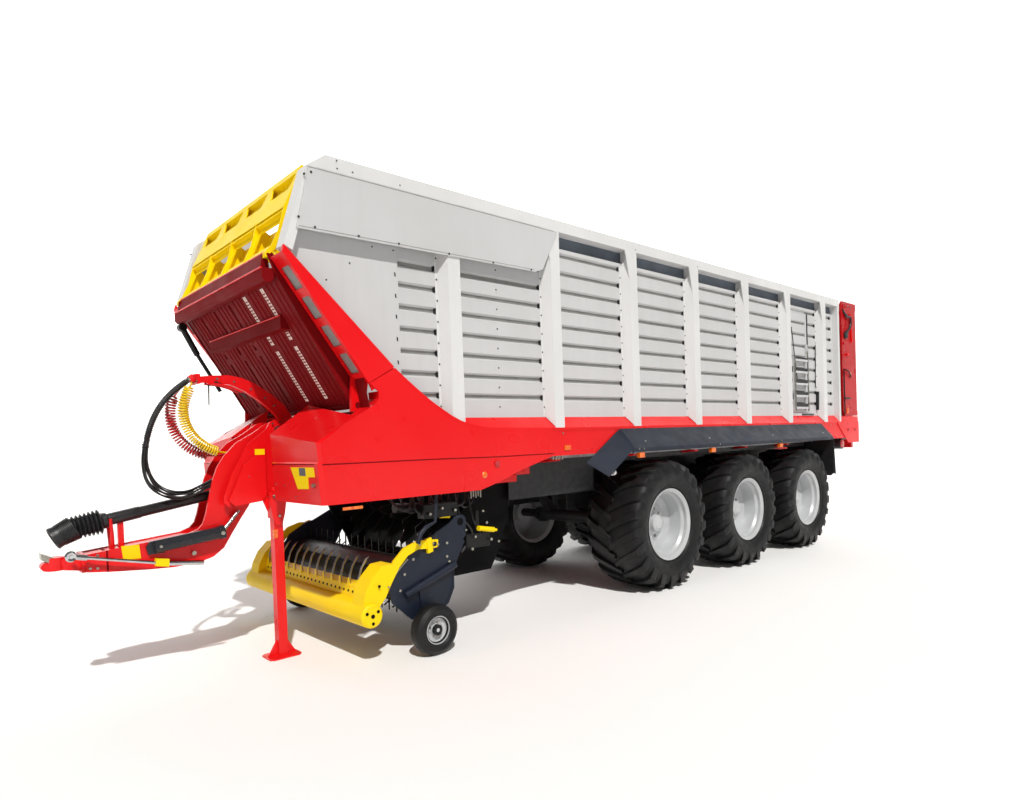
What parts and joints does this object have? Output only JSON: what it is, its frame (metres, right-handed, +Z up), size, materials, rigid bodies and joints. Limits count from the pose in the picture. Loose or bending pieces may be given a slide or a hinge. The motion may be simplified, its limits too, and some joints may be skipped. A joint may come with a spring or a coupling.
{
  "type": "tridem loader wagon",
  "caption": "Forage loader wagon with slatted steel body, pick-up reel, feed rotor, hinged front wall, yellow top flap, lifting tailgate, steered axles and a parking jack.",
  "frame": {"origin": "on the ground, midway between the hitch tip and the rear end, in the middle of the width", "axes": "+X forward along the drawbar, +Y to the left-hand side, +Z up"},
  "size_m": [11.846, 2.91, 3.93],
  "materials": {
    "red_paint": "gloss",
    "dark_red_paint": "gloss",
    "grey_white_paint": "satin",
    "yellow_paint": "gloss",
    "slate_plastic": "satin",
    "black_paint": "satin",
    "steel": "worn",
    "rim_silver": "gloss",
    "tyre": "matte",
    "cast": "matte",
    "hose_black": "satin",
    "hose_yellow": "gloss",
    "hose_red": "gloss",
    "black_plastic": "matte",
    "lamp_red": "gloss"
  },
  "bodies": {
    "chassis": {"air_line_red": "hose_red", "air_line_yellow": "hose_yellow", "axle_1": "cast", "axle_2": "cast", "axle_3": "cast", "fenders": "slate_plastic", "front_bands": "red_paint", "gate_rams": "black_paint", "hoods": "red_paint", "hose_arm": "red_paint", "hose_bundle": "hose_black", "input_gearbox": "cast", "jack_sleeve": "red_paint", "knife_bank": "steel", "lamps": "lamp_red", "load_floor": "steel", "main_frame": "red_paint", "neck_cheeks": "red_paint", "rotor_housing": "black_paint", "scraper_floor": "steel", "side_beams": "red_paint", "sign_panels": "grey_white_paint", "wall_frame_left": "grey_white_paint", "wall_frame_right": "grey_white_paint", "wall_panels_left": "grey_white_paint", "wall_panels_right": "grey_white_paint"},
    "drawbar": {"drawbar": "red_paint", "hitch_cup": "red_paint", "steering_rod": "steel", "drawbar_cylinder": "black_paint", "pto_shaft": "black_plastic"},
    "jack": {"jack_leg": "red_paint"},
    "pickup": {"pickup_frame": "black_paint"},
    "reel": {"pickup_reel": "steel"},
    "guard": {"crop_guard": "yellow_paint"},
    "gauge_left": {"gauge_wheel_left": "tyre"},
    "gauge_right": {"gauge_wheel_right": "tyre"},
    "rotor": {"feed_rotor": "steel"},
    "front_wall": {"front_wall": "dark_red_paint", "wall_rams": "black_paint"},
    "flap": {"top_flap": "yellow_paint"},
    "tailgate": {"tailgate": "red_paint"},
    "access_door": {"access_door": "grey_white_paint"},
    "wheel_1_left": {"tyre_1_left": "tyre", "rim_1_left": "rim_silver"},
    "knuckle_1_left": {"knuckle_1_left": "cast"},
    "wheel_1_right": {"tyre_1_right": "tyre", "rim_1_right": "rim_silver"},
    "knuckle_1_right": {"knuckle_1_right": "cast"},
    "wheel_2_left": {"tyre_2_left": "tyre", "rim_2_left": "rim_silver"},
    "wheel_2_right": {"tyre_2_right": "tyre", "rim_2_right": "rim_silver"},
    "wheel_3_left": {"tyre_3_left": "tyre", "rim_3_left": "rim_silver"},
    "knuckle_3_left": {"knuckle_3_left": "cast"},
    "wheel_3_right": {"tyre_3_right": "tyre", "rim_3_right": "rim_silver"},
    "knuckle_3_right": {"knuckle_3_right": "cast"}
  },
  "joints": [
    {"name": "steer_1_left", "type": "hinge", "parent": "chassis", "child": "knuckle_1_left", "pos_m": [0.152, 0.61, 0.7425], "axis": [0, 0, 1], "range_deg": [-15, 15]},
    {"name": "wheel_1_left_spin", "type": "hinge", "parent": "knuckle_1_left", "child": "wheel_1_left", "pos_m": [0.152, 1.1, 0.7425], "axis": [0, 1, 0], "continuous": true},
    {"name": "steer_1_right", "type": "hinge", "parent": "chassis", "child": "knuckle_1_right", "pos_m": [0.152, -0.61, 0.7425], "axis": [0, 0, 1], "range_deg": [-15, 15]},
    {"name": "wheel_1_right_spin", "type": "hinge", "parent": "knuckle_1_right", "child": "wheel_1_right", "pos_m": [0.152, -1.1, 0.7425], "axis": [0, 1, 0], "continuous": true},
    {"name": "wheel_2_left_spin", "type": "hinge", "parent": "chassis", "child": "wheel_2_left", "pos_m": [-1.658, 1.1, 0.7425], "axis": [0, 1, 0], "continuous": true},
    {"name": "wheel_2_right_spin", "type": "hinge", "parent": "chassis", "child": "wheel_2_right", "pos_m": [-1.658, -1.1, 0.7425], "axis": [0, 1, 0], "continuous": true},
    {"name": "steer_3_left", "type": "hinge", "parent": "chassis", "child": "knuckle_3_left", "pos_m": [-3.468, 0.61, 0.7425], "axis": [0, 0, 1], "range_deg": [-15, 15]},
    {"name": "wheel_3_left_spin", "type": "hinge", "parent": "knuckle_3_left", "child": "wheel_3_left", "pos_m": [-3.468, 1.1, 0.7425], "axis": [0, 1, 0], "continuous": true},
    {"name": "steer_3_right", "type": "hinge", "parent": "chassis", "child": "knuckle_3_right", "pos_m": [-3.468, -0.61, 0.7425], "axis": [0, 0, 1], "range_deg": [-15, 15]},
    {"name": "wheel_3_right_spin", "type": "hinge", "parent": "knuckle_3_right", "child": "wheel_3_right", "pos_m": [-3.468, -1.1, 0.7425], "axis": [0, 1, 0], "continuous": true},
    {"name": "drawbar_pivot", "type": "hinge", "parent": "chassis", "child": "drawbar", "pos_m": [4.215, 0, 1.93], "axis": [0, 1, 0], "range_deg": [-5, 8]},
    {"name": "jack_slide", "type": "slide", "parent": "chassis", "child": "jack", "axis": [0, 0, 1], "range_m": [0, 0.4]},
    {"name": "pickup_lift", "type": "hinge", "parent": "chassis", "child": "pickup", "pos_m": [2.96, 0, 1.06], "axis": [0, -1, 0], "range_deg": [0, 20]},
    {"name": "reel_spin", "type": "hinge", "parent": "pickup", "child": "reel", "pos_m": [3.39, 0, 0.585], "axis": [0, 1, 0], "continuous": true},
    {"name": "guard_lift", "type": "hinge", "parent": "pickup", "child": "guard", "pos_m": [3.27, 0, 0.905], "axis": [0, -1, 0], "range_deg": [0, 25]},
    {"name": "gauge_left_spin", "type": "hinge", "parent": "pickup", "child": "gauge_left", "pos_m": [3.375, 1.235, 0.212], "axis": [0, 1, 0], "continuous": true},
    {"name": "gauge_right_spin", "type": "hinge", "parent": "pickup", "child": "gauge_right", "pos_m": [3.375, -1.235, 0.212], "axis": [0, 1, 0], "continuous": true},
    {"name": "rotor_spin", "type": "hinge", "parent": "chassis", "child": "rotor", "pos_m": [2.72, 0, 1.06], "axis": [0, 1, 0], "continuous": true},
    {"name": "front_wall_pivot", "type": "hinge", "parent": "chassis", "child": "front_wall", "pos_m": [3.935, 0, 2.09], "axis": [0, -1, 0], "range_deg": [0, 25]},
    {"name": "flap_pivot", "type": "hinge", "parent": "front_wall", "child": "flap", "pos_m": [4.59, 0, 3.185], "axis": [0, 1, 0], "range_deg": [0, 70]},
    {"name": "tailgate_lift", "type": "hinge", "parent": "chassis", "child": "tailgate", "pos_m": [-5.4, 0, 3.83], "axis": [0, 1, 0], "range_deg": [0, 90]},
    {"name": "access_door_swing", "type": "hinge", "parent": "chassis", "child": "access_door", "pos_m": [-3.435, 1.175, 2.5], "axis": [0, 0, -1], "range_deg": [0, 110]}
  ],
  "couplings": [
    {"joint": "steer_1_right", "follows": "steer_1_left", "ratio": 1},
    {"joint": "steer_3_left", "follows": "steer_1_left", "ratio": -1},
    {"joint": "steer_3_right", "follows": "steer_1_left", "ratio": -1}
  ]
}
